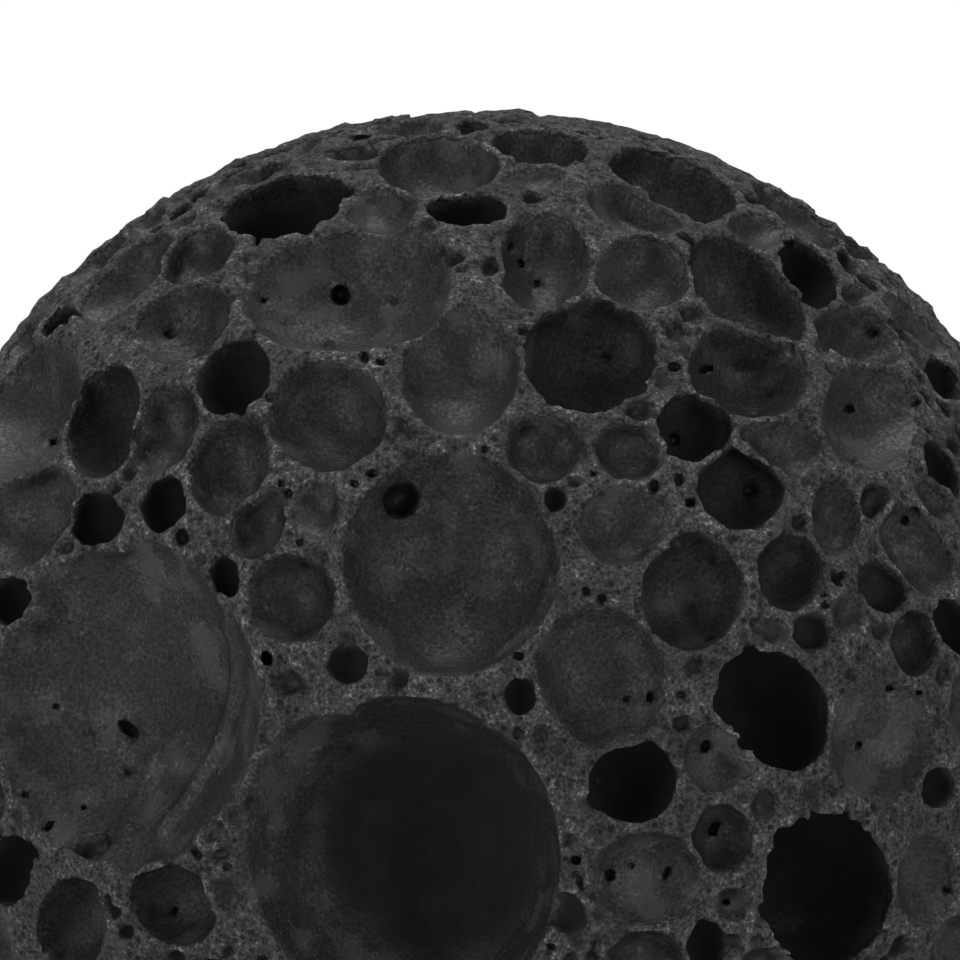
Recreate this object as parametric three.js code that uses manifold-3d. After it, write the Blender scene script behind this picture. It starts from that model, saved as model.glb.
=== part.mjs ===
// A plum-sized piece of vesicular lava, worn almost round: one solid stone, open all over with the
// gas bubbles that were frozen into it, and with a small flat worn on its underside to rest on.
// Millimetres, +Z up. The origin is on the resting flat, at the bottom centre of the stone's box.

import * as THREE from 'three';
import { mergeVertices } from 'three/addons/utils/BufferGeometryUtils.js';
import Module from 'manifold-3d';

// ---- driving dimensions ---------------------------------------------------------------------

const STONE_RADIUS = 30.5;
const BASE_DEPTH = 29.0;            // from the stone's middle down to the worn flat
const BASE_CLEAR_RADIUS = 12.0;     // no large bubble opens nearer than this to the flat's middle
const STONE_DETAIL = 6;             // splits of each icosahedron edge on the outer skin

// Each low swelling of the skin: height as a share of the radius, wave direction and phase.
const SWELLINGS = [
  { height: 0.0050, wave: [2.1, 0.6, 1.2], phase: 0.4 },
  { height: 0.0045, wave: [-1.1, 2.6, 0.9], phase: 2.1 },
  { height: 0.0040, wave: [0.8, -1.5, 3.1], phase: 4.0 },
  { height: 0.0030, wave: [3.6, 2.9, -2.2], phase: 1.3 },
];

// The large bubbles on the front, which faces -Y. Each mouth is given as it is seen from straight in
// front: its middle to the right of and above the stone's middle, its length and width, how far its
// length leans (degrees, rising to the right), and how deep the bowl is as a share of the mouth's
// mean radius. A share over 1 is an undercut pocket, and one under 1 is an open dish.
const FRONT_BUBBLES = [
  // crown, left to right
  [-9.9, 25.8, 6.8, 3.0, 14, 1.6],
  [-18.0, 22.0, 6.5, 2.2, 42, 0.7],
  [-15.0, 19.8, 5.2, 3.7, 25, 0.7],
  [-7.0, 21.5, 10.4, 6.0, 5, 0.6],
  [-2.3, 27.9, 5.9, 3.3, 0, 0.8],
  [3.0, 22.9, 5.0, 4.5, 90, 0.85],
  [2.8, 28.8, 4.9, 1.7, -5, 1.1],
  [7.5, 25.6, 5.1, 2.6, -17, 0.6],
  [9.5, 27.0, 6.9, 3.1, -23, 1.1],
  [7.9, 22.3, 4.8, 3.8, 0, 0.75],
  [13.1, 21.4, 7.0, 4.0, -45, 1.0],
  [15.8, 25.4, 5.5, 1.5, -35, 0.9],
  [18.7, 19.2, 4.6, 2.7, -20, 0.8],
  [21.8, 19.7, 5.0, 1.3, -42, 0.6],
  // upper middle
  [5.3, 18.2, 6.8, 6.0, 0, 1.15],
  [-1.2, 17.4, 6.5, 5.9, 90, 0.6],
  [13.2, 17.5, 6.1, 4.9, -15, 0.8],
  [-22.9, 15.6, 7.6, 4.4, 68, 0.5],
  [-18.9, 15.0, 5.8, 3.8, 72, 1.2],
  [-12.4, 17.1, 4.1, 3.3, 50, 1.4],
  [-12.6, 12.7, 5.2, 3.6, 68, 0.9],
  [-7.8, 15.2, 5.9, 5.4, 0, 0.85],
  [19.3, 15.2, 5.5, 5.3, 90, 0.5],
  [12.7, 11.6, 4.4, 4.4, 0, 1.2],
  // middle band
  [-22.7, 10.2, 6.0, 4.0, 50, 0.6],
  [-18.6, 0.8, 16.6, 13.5, 88, 0.42],
  [-9.5, 6.2, 4.4, 4.3, 90, 0.85],
  [-1.7, 8.0, 11.2, 10.6, 90, 0.65],
  [6.9, 9.7, 4.8, 4.2, 0, 0.55],
  [10.2, 6.5, 6.0, 5.2, 90, 1.05],
  [5.8, 2.3, 7.4, 6.3, 110, 0.6],
  [21.4, 8.5, 5.4, 2.9, -55, 0.65],
  [15.0, 7.4, 4.0, 3.4, 90, 1.15],
  [14.2, 0.7, 6.6, 5.2, -50, 1.7],
  [19.8, -0.9, 6.4, 5.6, 90, 0.4],
  // lower band
  [-4.0, -6.9, 16.0, 15.2, 90, 1.1],
  [7.3, -2.9, 4.3, 4.0, 0, 1.8],
  [17.0, -8.3, 8.0, 6.7, 90, 1.7],
  [8.1, -7.6, 5.8, 4.8, 0, 0.55],
  [22.0, -8.0, 4.8, 3.0, 90, 0.5],
  [-15.5, -9.0, 4.8, 3.8, -35, 1.1],
  [-20.7, -10.2, 5.0, 3.7, 80, 1.1],
];

// The largest bubbles on the sides and back: the direction in which the mouth faces (degrees round
// from the front towards +X, and degrees up), then length, width, lean and depth share as above.
const FAR_BUBBLES = [
  [78, 18, 9.0, 7.4, 20, 1.1],
  [104, -22, 11.5, 9.0, -35, 0.7],
  [128, 30, 7.2, 6.0, 60, 1.5],
  [158, -4, 12.5, 11.0, 10, 0.8],
  [188, 36, 8.6, 7.0, -50, 1.2],
  [205, -26, 8.0, 6.6, 35, 1.6],
  [236, 8, 10.0, 8.4, 75, 0.7],
  [262, 38, 7.4, 6.2, 0, 1.3],
  [284, -18, 8.4, 7.0, -20, 1.1],
  [150, 66, 8.2, 6.8, 15, 0.8],
  [22, -46, 7.6, 6.4, 40, 1.3],
  [330, -52, 8.4, 6.6, -15, 0.7],
];

// The medium bubbles between them are scattered by a fixed seed.
const SCATTER_SEED = 20411;
const SCATTER_TRIES = 70;
const SCATTER_LENGTH = [4.6, 6.4];
const SCATTER_WALL = 0.7;           // least rock left between two mouths
const FRONT_EDGE = { side: 24.5, low: -12.5 };   // the listed front ends here

// ---- places on the stone --------------------------------------------------------------------

function radians(degrees) {
  return degrees * Math.PI / 180;
}

function skinRadius(direction) {
  let share = 1;
  for (const { height, wave, phase } of SWELLINGS) {
    const turn = wave[0] * direction.x + wave[1] * direction.y + wave[2] * direction.z;
    share += height * Math.cos(turn + phase);
  }
  return STONE_RADIUS * share;
}

// A mouth is an outward direction and two conjugate half-diameters, along and across.
function frontMouth([right, up, length, width, lean, depthShare]) {
  const forward = Math.sqrt(STONE_RADIUS ** 2 - right ** 2 - up ** 2);
  const outward = new THREE.Vector3(right, -forward, up).divideScalar(STONE_RADIUS);
  const cos = Math.cos(radians(lean));
  const sin = Math.sin(radians(lean));
  const along = liftToSkin(outward, cos * length / 2, sin * length / 2);
  const across = liftToSkin(outward, -sin * width / 2, cos * width / 2);
  return { outward, along, across, depthShare };
}

function liftToSkin(outward, right, up) {
  const back = -(outward.x * right + outward.z * up) / outward.y;
  return new THREE.Vector3(right, back, up);
}

function farMouth([turn, rise, length, width, lean, depthShare]) {
  const cosRise = Math.cos(radians(rise));
  const outward = new THREE.Vector3(
    Math.sin(radians(turn)) * cosRise,
    -Math.cos(radians(turn)) * cosRise,
    Math.sin(radians(rise)),
  );
  const level = new THREE.Vector3(0, 0, 1).cross(outward).normalize();
  const steep = outward.clone().cross(level);
  const cos = Math.cos(radians(lean));
  const sin = Math.sin(radians(lean));
  const along = level.clone().multiplyScalar(cos).addScaledVector(steep, sin);
  const across = steep.clone().multiplyScalar(cos).addScaledVector(level, -sin);
  along.multiplyScalar(length / 2);
  across.multiplyScalar(width / 2);
  return { outward, along, across, depthShare };
}

function mouthRadius({ along, across }) {
  return Math.sqrt(along.clone().cross(across).length());
}

// ---- the scattered bubbles ------------------------------------------------------------------

// Park and Miller's generator: whole numbers only, so that it gives the same row everywhere.
function seededRandom(seed) {
  let state = seed;
  return () => {
    state = (state * 16807) % 2147483647;
    return state / 2147483647;
  };
}

function inListedFront(outward) {
  const right = outward.x * STONE_RADIUS;
  const up = outward.z * STONE_RADIUS;
  return outward.y < 0 && Math.abs(right) < FRONT_EDGE.side && up > FRONT_EDGE.low;
}

function overFlat(outward, radius) {
  const sideways = Math.hypot(outward.x, outward.y) * STONE_RADIUS;
  return outward.z < 0 && sideways < BASE_CLEAR_RADIUS + radius;
}

function hasRoom(mouth, others) {
  const radius = mouthRadius(mouth);
  return others.every((other) => {
    const apart = mouth.outward.angleTo(other.outward) * STONE_RADIUS;
    return apart > radius + mouthRadius(other) + SCATTER_WALL;
  });
}

function scatterMouths(placed) {
  const random = seededRandom(SCATTER_SEED);
  const between = (low, high) => low + (high - low) * random();
  const scattered = [];
  for (let attempt = 0; attempt < SCATTER_TRIES; attempt += 1) {
    const turn = between(0, 360);
    const rise = Math.asin(between(-1, 1)) * 180 / Math.PI;
    const length = between(...SCATTER_LENGTH);
    const width = length * between(0.7, 1);
    const mouth = farMouth([turn, rise, length, width, between(0, 180), between(0.6, 1.5)]);
    const blocked = inListedFront(mouth.outward) || overFlat(mouth.outward, mouthRadius(mouth));
    if (!blocked && hasRoom(mouth, [...placed, ...scattered])) {
      scattered.push(mouth);
    }
  }
  return scattered;
}

// ---- solids ---------------------------------------------------------------------------------

const wasm = await Module();
wasm.setup();

function solidFrom(geometry) {
  const bare = geometry.clone();
  bare.deleteAttribute('normal');
  bare.deleteAttribute('uv');
  const merged = mergeVertices(bare, 1e-4);
  return new wasm.Manifold(new wasm.Mesh({
    numProp: 3,
    vertProperties: Float32Array.from(merged.attributes.position.array),
    triVerts: Uint32Array.from(merged.index.array),
  }));
}

function geometryFrom(solid) {
  const { vertProperties, triVerts } = solid.getMesh();
  const geometry = new THREE.BufferGeometry();
  geometry.setAttribute('position', new THREE.Float32BufferAttribute(vertProperties, 3));
  geometry.setIndex(new THREE.Uint32BufferAttribute(triVerts, 1));
  geometry.computeVertexNormals();
  return geometry;
}

function wornBall() {
  const geometry = new THREE.IcosahedronGeometry(1, STONE_DETAIL);
  const position = geometry.attributes.position;
  const point = new THREE.Vector3();
  for (let i = 0; i < position.count; i += 1) {
    point.fromBufferAttribute(position, i).normalize();
    point.multiplyScalar(skinRadius(point));
    position.setXYZ(i, point.x, point.y, point.z);
  }
  return solidFrom(geometry);
}

function groundBelowFlat() {
  const size = STONE_RADIUS * 2;
  const block = new THREE.BoxGeometry(size, size, size);
  block.translate(0, 0, -BASE_DEPTH - size / 2);
  return solidFrom(block);
}

// The bubble is a ball stretched to fit its mouth. With the mouth's radius as 1, a bowl of depth q
// belongs to a ball of radius (q + 1/q) / 2 whose middle lies (q - 1/q) / 2 below the mouth.
function bubble(mouth) {
  const { outward, along, across, depthShare } = mouth;
  const radius = mouthRadius(mouth);
  const ballRadius = (depthShare + 1 / depthShare) / 2;
  const ballDepth = (depthShare - 1 / depthShare) / 2;
  const mouthHeight = skinRadius(outward) - radius ** 2 / (2 * STONE_RADIUS);
  const middle = outward.clone().multiplyScalar(mouthHeight - radius * ballDepth);
  const stretch = new THREE.Matrix4().makeBasis(
    along.clone().multiplyScalar(ballRadius),
    across.clone().multiplyScalar(ballRadius),
    outward.clone().multiplyScalar(radius * ballRadius),
  );
  stretch.setPosition(middle);
  const geometry = new THREE.IcosahedronGeometry(1, ballDetail(radius * ballRadius));
  geometry.applyMatrix4(stretch);
  return solidFrom(geometry);
}

function ballDetail(radius) {
  if (radius > 6.5) {
    return 3;
  }
  return radius > 4.0 ? 2 : 1;
}

function stoneSolid() {
  const listed = [...FRONT_BUBBLES.map(frontMouth), ...FAR_BUBBLES.map(farMouth)];
  const mouths = [...listed, ...scatterMouths(listed)];
  let solid = wornBall().subtract(groundBelowFlat());
  for (const mouth of mouths) {
    solid = solid.subtract(bubble(mouth));
  }
  return solid;
}

// ---- the model ------------------------------------------------------------------------------

const lava = new THREE.MeshStandardMaterial({ color: 0x3a3a39, roughness: 0.92, metalness: 0.0 });

const stone = new THREE.Mesh(geometryFrom(stoneSolid()), lava);
stone.name = 'lava_rock';

const box = new THREE.Box3().setFromObject(stone);
stone.position.set(-(box.min.x + box.max.x) / 2, -(box.min.y + box.max.y) / 2, -box.min.z);

const group = new THREE.Group();
group.add(stone);

export default group;
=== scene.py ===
"""The looks of a rounded piece of dark vesicular lava.

The stone is sculpted as one closed mesh. A field of distances is filled for the worn round stone,
every gas bubble is hollowed out of it, the broken walls between bubbles are roughened, small pits
are pressed in, and the surface is drawn off as a mesh. Lengths are in millimetres until the mesh is
made, and the sculpting frame has its origin at the stone's middle. -Y is the front.
"""

import math

import bpy
import numpy as np
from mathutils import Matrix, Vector


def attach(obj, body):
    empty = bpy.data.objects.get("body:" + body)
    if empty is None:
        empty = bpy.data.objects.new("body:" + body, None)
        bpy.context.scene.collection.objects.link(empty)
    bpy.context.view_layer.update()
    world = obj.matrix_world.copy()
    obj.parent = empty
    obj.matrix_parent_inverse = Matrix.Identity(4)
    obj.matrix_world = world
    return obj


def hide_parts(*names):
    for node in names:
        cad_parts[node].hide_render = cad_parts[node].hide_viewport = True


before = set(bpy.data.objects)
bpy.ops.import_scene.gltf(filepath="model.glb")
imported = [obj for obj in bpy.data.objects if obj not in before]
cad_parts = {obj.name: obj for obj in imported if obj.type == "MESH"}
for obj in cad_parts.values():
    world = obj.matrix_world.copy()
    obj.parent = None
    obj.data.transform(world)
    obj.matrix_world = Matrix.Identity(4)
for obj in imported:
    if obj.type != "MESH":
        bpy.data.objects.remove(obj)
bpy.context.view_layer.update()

NODE = "lava_rock"
MM = 0.001

# ---- driving dimensions, as in the CAD model

STONE_RADIUS = 30.5
BASE_DEPTH = 29.0  # from the middle down to the resting flat
BASE_CLEAR_RADIUS = 12.0  # the CAD model's scattered bubbles stay clear of this

# Each low swelling of the skin: height as a share of the radius, wave direction and phase.
SWELLINGS = [
    (0.0050, (2.1, 0.6, 1.2), 0.4),
    (0.0045, (-1.1, 2.6, 0.9), 2.1),
    (0.0040, (0.8, -1.5, 3.1), 4.0),
    (0.0030, (3.6, 2.9, -2.2), 1.3),
]

# Bubbles on the front, as seen from straight in front: the mouth's middle to the right of and above
# the stone's middle, its length and width, how far its length leans (degrees, rising to the right),
# and how deep the bowl is as a share of the mouth's mean radius. Only the great hollow, the first
# of the lower band, has another share in the CAD model: a lobe takes it deeper here.
LARGE_FRONT = [
    # crown, left to right
    (-9.9, 25.8, 6.8, 3.0, 14, 1.6),
    (-18.0, 22.0, 6.5, 2.2, 42, 0.7),
    (-15.0, 19.8, 5.2, 3.7, 25, 0.7),
    (-7.0, 21.5, 10.4, 6.0, 5, 0.6),
    (-2.3, 27.9, 5.9, 3.3, 0, 0.8),
    (3.0, 22.9, 5.0, 4.5, 90, 0.85),
    (2.8, 28.8, 4.9, 1.7, -5, 1.1),
    (7.5, 25.6, 5.1, 2.6, -17, 0.6),
    (9.5, 27.0, 6.9, 3.1, -23, 1.1),
    (7.9, 22.3, 4.8, 3.8, 0, 0.75),
    (13.1, 21.4, 7.0, 4.0, -45, 1.0),
    (15.8, 25.4, 5.5, 1.5, -35, 0.9),
    (18.7, 19.2, 4.6, 2.7, -20, 0.8),
    (21.8, 19.7, 5.0, 1.3, -42, 0.6),
    # upper middle
    (5.3, 18.2, 6.8, 6.0, 0, 1.15),
    (-1.2, 17.4, 6.5, 5.9, 90, 0.6),
    (13.2, 17.5, 6.1, 4.9, -15, 0.8),
    (-22.9, 15.6, 7.6, 4.4, 68, 0.5),
    (-18.9, 15.0, 5.8, 3.8, 72, 1.2),
    (-12.4, 17.1, 4.1, 3.3, 50, 1.4),
    (-12.6, 12.7, 5.2, 3.6, 68, 0.9),
    (-7.8, 15.2, 5.9, 5.4, 0, 0.85),
    (19.3, 15.2, 5.5, 5.3, 90, 0.5),
    (12.7, 11.6, 4.4, 4.4, 0, 1.2),
    # middle band
    (-22.7, 10.2, 6.0, 4.0, 50, 0.6),
    (-18.6, 0.8, 16.6, 13.5, 88, 0.42),
    (-9.5, 6.2, 4.4, 4.3, 90, 0.85),
    (-1.7, 8.0, 11.2, 10.6, 90, 0.65),
    (6.9, 9.7, 4.8, 4.2, 0, 0.55),
    (10.2, 6.5, 6.0, 5.2, 90, 1.05),
    (5.8, 2.3, 7.4, 6.3, 110, 0.6),
    (21.4, 8.5, 5.4, 2.9, -55, 0.65),
    (15.0, 7.4, 4.0, 3.4, 90, 1.15),
    (14.2, 0.7, 6.6, 5.2, -50, 1.7),
    (19.8, -0.9, 6.4, 5.6, 90, 0.4),
    # lower band
    (-4.0, -6.9, 16.0, 15.2, 90, 0.8),
    (7.3, -2.9, 4.3, 4.0, 0, 1.8),
    (17.0, -8.3, 8.0, 6.7, 90, 1.7),
    (8.1, -7.6, 5.8, 4.8, 0, 0.55),
    (22.0, -8.0, 4.8, 3.0, 90, 0.5),
    (-15.5, -9.0, 4.8, 3.8, -35, 1.1),
    (-20.7, -10.2, 5.0, 3.7, 80, 1.1),
]

# The front's smaller bubbles, which the CAD model leaves out.
SMALL_FRONT = [
    # crown
    (-14.4, 23.3, 4.2, 2.4, 25, 0.6),
    (-21.3, 20.0, 2.0, 0.9, 42, 1.4),
    (-17.0, 24.9, 2.4, 0.8, 35, 0.5),
    (-15.1, 25.5, 1.3, 0.5, 35, 1.2),
    (-19.5, 23.0, 4.0, 0.9, 42, 0.5),
    (-23.3, 18.7, 3.0, 0.9, 60, 0.6),
    (-11.5, 27.5, 4.2, 1.0, 22, 0.6),
    (-5.2, 25.6, 3.7, 2.2, 0, 0.5),
    (-0.8, 25.5, 3.8, 1.7, 0, 1.6),
    (-6.6, 28.4, 2.8, 0.8, 0, 0.7),
    (-0.6, 29.75, 1.7, 0.6, 0, 1.0),
    (-4.2, 29.8, 4.5, 0.8, 0, 0.5),
    (-9.8, 28.5, 4.0, 0.8, 20, 0.5),
    (0.4, 22.5, 1.0, 1.1, 0, 0.9),
    (2.5, 27.1, 3.3, 1.2, 0, 0.4),
    (13.6, 24.5, 3.2, 1.7, -15, 0.4),
    (16.2, 22.4, 4.0, 2.1, -55, 1.3),
    (18.1, 23.1, 1.6, 0.9, -60, 1.2),
    (18.6, 21.3, 1.7, 0.9, 0, 0.7),
    (19.0, 23.6, 2.5, 0.8, -38, 0.5),
    (23.0, 17.1, 2.6, 1.4, -55, 1.2),
    (9.4, 19.2, 1.0, 0.9, 0, 0.9),
    # upper middle
    (-15.9, 14.5, 4.8, 3.2, 65, 0.6),
    (-19.3, 10.0, 3.0, 2.8, 0, 1.1),
    (-15.8, 10.8, 2.7, 2.0, 70, 1.7),
    (-20.8, 8.7, 1.4, 1.2, 0, 0.5),
    (-18.1, 8.6, 1.0, 0.8, 90, 0.9),
    (-12.8, 7.1, 2.1, 1.4, 90, 1.6),
    (-11.1, 9.9, 3.9, 2.5, 60, 0.7),
    (-8.3, 10.4, 2.9, 2.9, 0, 0.4),
    (3.0, 13.5, 3.9, 3.5, 0, 0.6),
    (7.2, 13.4, 3.6, 3.1, 0, 0.6),
    (7.6, 15.3, 1.7, 1.3, 0, 0.7),
    (10.35, 14.6, 3.9, 3.5, 0, 1.0),
    (9.0, 16.9, 2.0, 1.5, 0, 0.4),
    (3.5, 11.05, 1.1, 1.0, 90, 1.6),
    (4.4, 11.8, 0.9, 0.6, 0, 1.0),
    (14.7, 13.5, 4.6, 3.0, -10, 0.4),
    (22.8, 12.5, 3.0, 1.3, -65, 1.3),
    (22.3, 11.0, 2.6, 1.4, -50, 0.5),
    (17.3, 10.1, 3.8, 2.5, 95, 0.6),
    (15.5, 9.8, 1.0, 0.9, 90, 0.9),
    (19.3, 10.9, 2.0, 1.7, 90, 0.8),
    # middle band
    (-23.5, 6.0, 2.7, 2.3, 0, 1.7),
    (-6.7, 2.9, 2.1, 1.9, 0, 1.0),
    (-9.6, 2.0, 1.7, 1.2, 0, 0.7),
    (-13.5, -5.5, 1.7, 1.3, 0, 0.6),
    (-13.2, -6.4, 1.4, 0.8, 0, 0.7),
    (-12.6, -4.5, 0.8, 0.8, 0, 0.9),
    (1.8, 1.35, 1.8, 1.5, 90, 1.2),
    (9.7, 0.0, 1.0, 0.9, 90, 0.9),
    (19.6, 6.7, 2.9, 2.1, -45, 0.9),
    (16.1, 4.5, 1.95, 1.9, 0, 0.95),
    (17.8, 5.3, 2.2, 1.8, 90, 0.4),
    (14.0, 4.5, 2.2, 1.6, 0, 0.45),
    (19.5, 4.5, 1.0, 1.0, 0, 0.7),
    (18.4, 3.2, 0.9, 0.5, 90, 0.7),
    (18.0, 2.3, 1.0, 0.7, 0, 0.7),
    (21.3, 3.9, 3.3, 2.4, 90, 0.85),
    (23.3, 4.7, 2.8, 1.8, -70, 1.4),
    (23.9, 0.8, 3.6, 1.8, 90, 0.5),
    (22.4, -3.2, 2.0, 1.9, 90, 1.15),
    (11.5, -1.7, 3.8, 3.8, 0, 0.4),
    # lower band
    (12.6, -3.6, 1.1, 0.9, 90, 0.6),
    (13.7, -4.0, 2.0, 1.4, 90, 0.5),
    (16.3, -3.4, 1.8, 1.3, 0, 0.4),
    (11.7, -5.7, 3.6, 3.1, 90, 0.8),
    (12.2, -8.9, 1.8, 1.8, 0, 0.6),
    (10.9, -10.9, 2.4, 1.8, 90, 1.6),
    (4.1, -9.3, 2.3, 1.8, 115, 1.0),
    (8.0, -11.8, 3.8, 3.4, 0, 0.6),
    (14.0, -12.0, 3.0, 2.0, 0, 0.5),
    (24.3, -12.0, 5.0, 4.0, 80, 0.5),
    (-13.0, -8.5, 2.0, 1.8, 0, 0.4),
    (-18.6, -9.2, 1.5, 0.5, 105, 1.1),
    (-23.8, -7.4, 3.4, 2.2, 80, 1.4),
]

# Lobes of the large bubbles, which open into them: how far round the join is melted away, in
# millimetres, and then a row as above.
FRONT_LOBES = [
    (0.8, (-4.6, 22.0, 5.6, 5.6, 0, 0.6)),
    (2.2, (-2.6, -7.6, 10.0, 12.4, 0, 1.35)),
    (1.6, (-9.3, -4.8, 9.4, 4.6, 80, 0.7)),
]

# Small pits on the front, wherever the surface lies behind that place: right, up, length and width,
# and then the lean and the depth share if they aren't the usual ones.
USUAL_LEAN_AND_SHARE = (0, 1.2)
FRONT_PITS = [
    (-4.1, 11.0, 1.9, 1.8, 0, 0.9),
    (-19.3, -6.1, 1.9, 1.7, 0, 0.6),
    (-7.1, 21.2, 1.0, 0.9, 90, 1.2),
    (-10.9, 20.9, 0.4, 0.4),
    (-6.2, 29.0, 1.4, 0.35),
    (-7.8, 29.2, 0.5, 0.4, 0, 1.0),
    (-5.9, 18.1, 0.8, 0.55, 90, 1.2),
    (-4.6, 18.5, 0.45, 0.45),
    (-5.1, 17.8, 0.4, 0.4),
    (1.3, 23.5, 0.5, 0.4, 30, 1.2),
    (1.8, 22.7, 0.4, 0.4),
    (2.6, 21.7, 0.4, 0.4),
    (1.6, 27.75, 0.9, 0.4),
    (9.4, 17.6, 0.7, 0.5, 0, 1.0),
    (1.9, 19.4, 0.5, 0.5, 0, 1.0),
    (11.0, 17.5, 1.1, 0.35, 20, 1.3),
    (20.3, 19.8, 0.6, 0.4),
    (19.3, 19.3, 0.6, 0.5, 0, 1.0),
    (15.1, 18.4, 0.8, 0.5, 90, 1.2),
    (16.8, 18.6, 1.0, 0.8, 90, 1.0),
    (-14.9, 9.3, 0.8, 0.5, 90, 1.2),
    (-21.4, 13.9, 0.5, 0.4, 90, 1.2),
    (-17.6, -0.3, 1.2, 0.6, -40, 1.4),
    (-21.2, 0.8, 0.4, 0.35),
    (-14.2, 0.8, 0.4, 0.35),
    (-17.6, -2.4, 0.45, 0.3, 90, 1.2),
    (-22.7, -3.6, 0.35, 0.3),
    (-19.8, -4.2, 0.35, 0.3),
    (-21.5, -5.1, 0.8, 0.3, 55, 1.0),
    (-9.1, 8.9, 0.5, 0.45),
    (-9.7, 11.3, 0.6, 0.5),
    (-10.0, 11.8, 0.45, 0.4),
    (-5.5, 12.3, 0.6, 0.5),
    (-6.4, 11.8, 0.5, 0.4),
    (-3.8, 14.1, 0.5, 0.35),
    (0.0, 13.5, 0.5, 0.4),
    (-10.7, 3.2, 0.75, 0.55, 90, 1.6),
    (-10.5, 16.1, 0.9, 0.6, 0, 0.8),
    (9.4, 14.0, 0.7, 0.5, 90, 1.3),
    (5.05, 6.5, 0.5, 0.5),
    (5.8, 6.15, 0.5, 0.45),
    (9.6, 12.0, 0.7, 0.5, 90, 1.2),
    (10.2, 10.9, 0.6, 0.5),
    (8.4, 11.7, 0.7, 0.5, 90, 1.2),
    (5.4, 12.3, 0.45, 0.4),
    (2.0, 14.4, 0.45, 0.4),
    (1.7, 3.3, 0.55, 0.45),
    (7.0, 1.2, 0.5, 0.4),
    (8.2, 1.3, 0.5, 0.35, 90, 1.2),
    (9.75, 1.4, 0.6, 0.45),
    (18.1, 15.5, 0.6, 0.4),
    (18.4, 12.9, 0.5, 0.4),
    (16.8, 6.35, 0.45, 0.4),
    (16.8, 5.8, 0.4, 0.35),
    (17.7, 7.3, 0.45, 0.4),
    (21.3, 10.5, 0.45, 0.4),
    (20.8, 10.0, 0.45, 0.4),
    (21.4, 15.8, 0.5, 0.35),
    (10.9, -1.15, 0.65, 0.5, 70, 1.4),
    (18.5, -1.1, 0.6, 0.35, 50, 1.3),
    (20.0, 1.7, 0.45, 0.35),
    (21.5, 1.5, 0.4, 0.35),
    (6.2, -7.5, 0.65, 0.55, 90, 1.2),
    (9.0, -7.4, 0.8, 0.3, 65, 1.2),
    (7.25, -7.0, 0.35, 0.3),
    (4.5, -6.7, 0.55, 0.5),
    (4.7, -7.8, 1.0, 0.3, 100, 1.0),
    (3.3, -11.0, 0.4, 0.35),
    (11.3, -5.2, 0.75, 0.35, 60, 1.3),
    (11.9, -8.8, 0.45, 0.35),
    (22.9, -8.3, 0.45, 0.35),
    (-13.2, -5.0, 0.6, 0.35),
    (-14.2, -6.4, 0.9, 0.45, -45, 1.0),
    (-12.7, -7.1, 0.55, 0.5),
    (-15.3, -9.3, 0.5, 0.35, 90, 1.2),
]

# The largest bubbles on the sides and back: the direction in which the mouth faces (degrees round
# from the front towards +X, and degrees up), then length, width, lean and depth share.
LARGE_FAR = [
    (78, 18, 9.0, 7.4, 20, 1.1),
    (104, -22, 11.5, 9.0, -35, 0.7),
    (128, 30, 7.2, 6.0, 60, 1.5),
    (158, -4, 12.5, 11.0, 10, 0.8),
    (188, 36, 8.6, 7.0, -50, 1.2),
    (205, -26, 8.0, 6.6, 35, 1.6),
    (236, 8, 10.0, 8.4, 75, 0.7),
    (262, 38, 7.4, 6.2, 0, 1.3),
    (284, -18, 8.4, 7.0, -20, 1.1),
    (150, 66, 8.2, 6.8, 15, 0.8),
    (22, -46, 7.6, 6.4, 40, 1.3),
    (330, -52, 8.4, 6.6, -15, 0.7),
]

# Low crests inside the large bubbles, where an older wall was drawn back: half the crest's width,
# and the places, right and up, that it runs through.
FRONT_CRESTS = [
    # the left crater's ledge and folds
    (0.34, [(-12.5, 5.2), (-12.0, 3.2), (-12.2, 1.0), (-13.0, -1.3), (-14.3, -3.6), (-15.9, -5.6)]),
    (0.24, [(-16.1, -1.6), (-16.6, -3.0), (-17.5, -4.8), (-18.2, -6.6)]),
    (0.24, [(-20.6, -6.4), (-19.6, -7.2), (-18.4, -7.2), (-17.6, -6.3), (-17.3, -5.0)]),
    # the middle bowl's second rim
    (0.16, [(3.4, 7.2), (2.9, 5.6), (1.8, 4.1), (0.5, 3.2)]),
    # the great hollow's shelf
    (0.20, [(-9.6, 0.2), (-8.2, 1.0), (-6.2, 0.6), (-5.0, -0.5)]),
]

# Scattered bubbles between the listed ones. The first class repeats the CAD model's draw. Only the
# pores are scattered over the listed front too.
FRONT_EDGE_SIDE = 24.5  # where the listed front ends, from the stone's middle
FRONT_EDGE_LOW = -12.5
NARROWEST = 0.7  # a scattered bubble's least width, as a share of its length
# Each class has a seed, a number of tries, and its lengths, wall and depth shares.
CAD_SCATTER = (20411, 70, (4.6, 6.4), 0.7, (0.6, 1.5))
FINE_SCATTERS = [
    (31, 5000, (4.4, 6.2), 0.0, (0.5, 1.5)),
    (32, 9000, (2.8, 4.4), 0.05, (0.5, 1.5)),
    (33, 14000, (1.5, 2.8), 0.15, (0.6, 1.4)),
]
PORE_SCATTERS = [
    (34, 20000, (0.9, 1.6), 0.16, (0.8, 1.6)),
    (35, 9000, (0.5, 0.9), 0.10, (1.2, 2.2)),
]

# ---- sculpting

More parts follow.
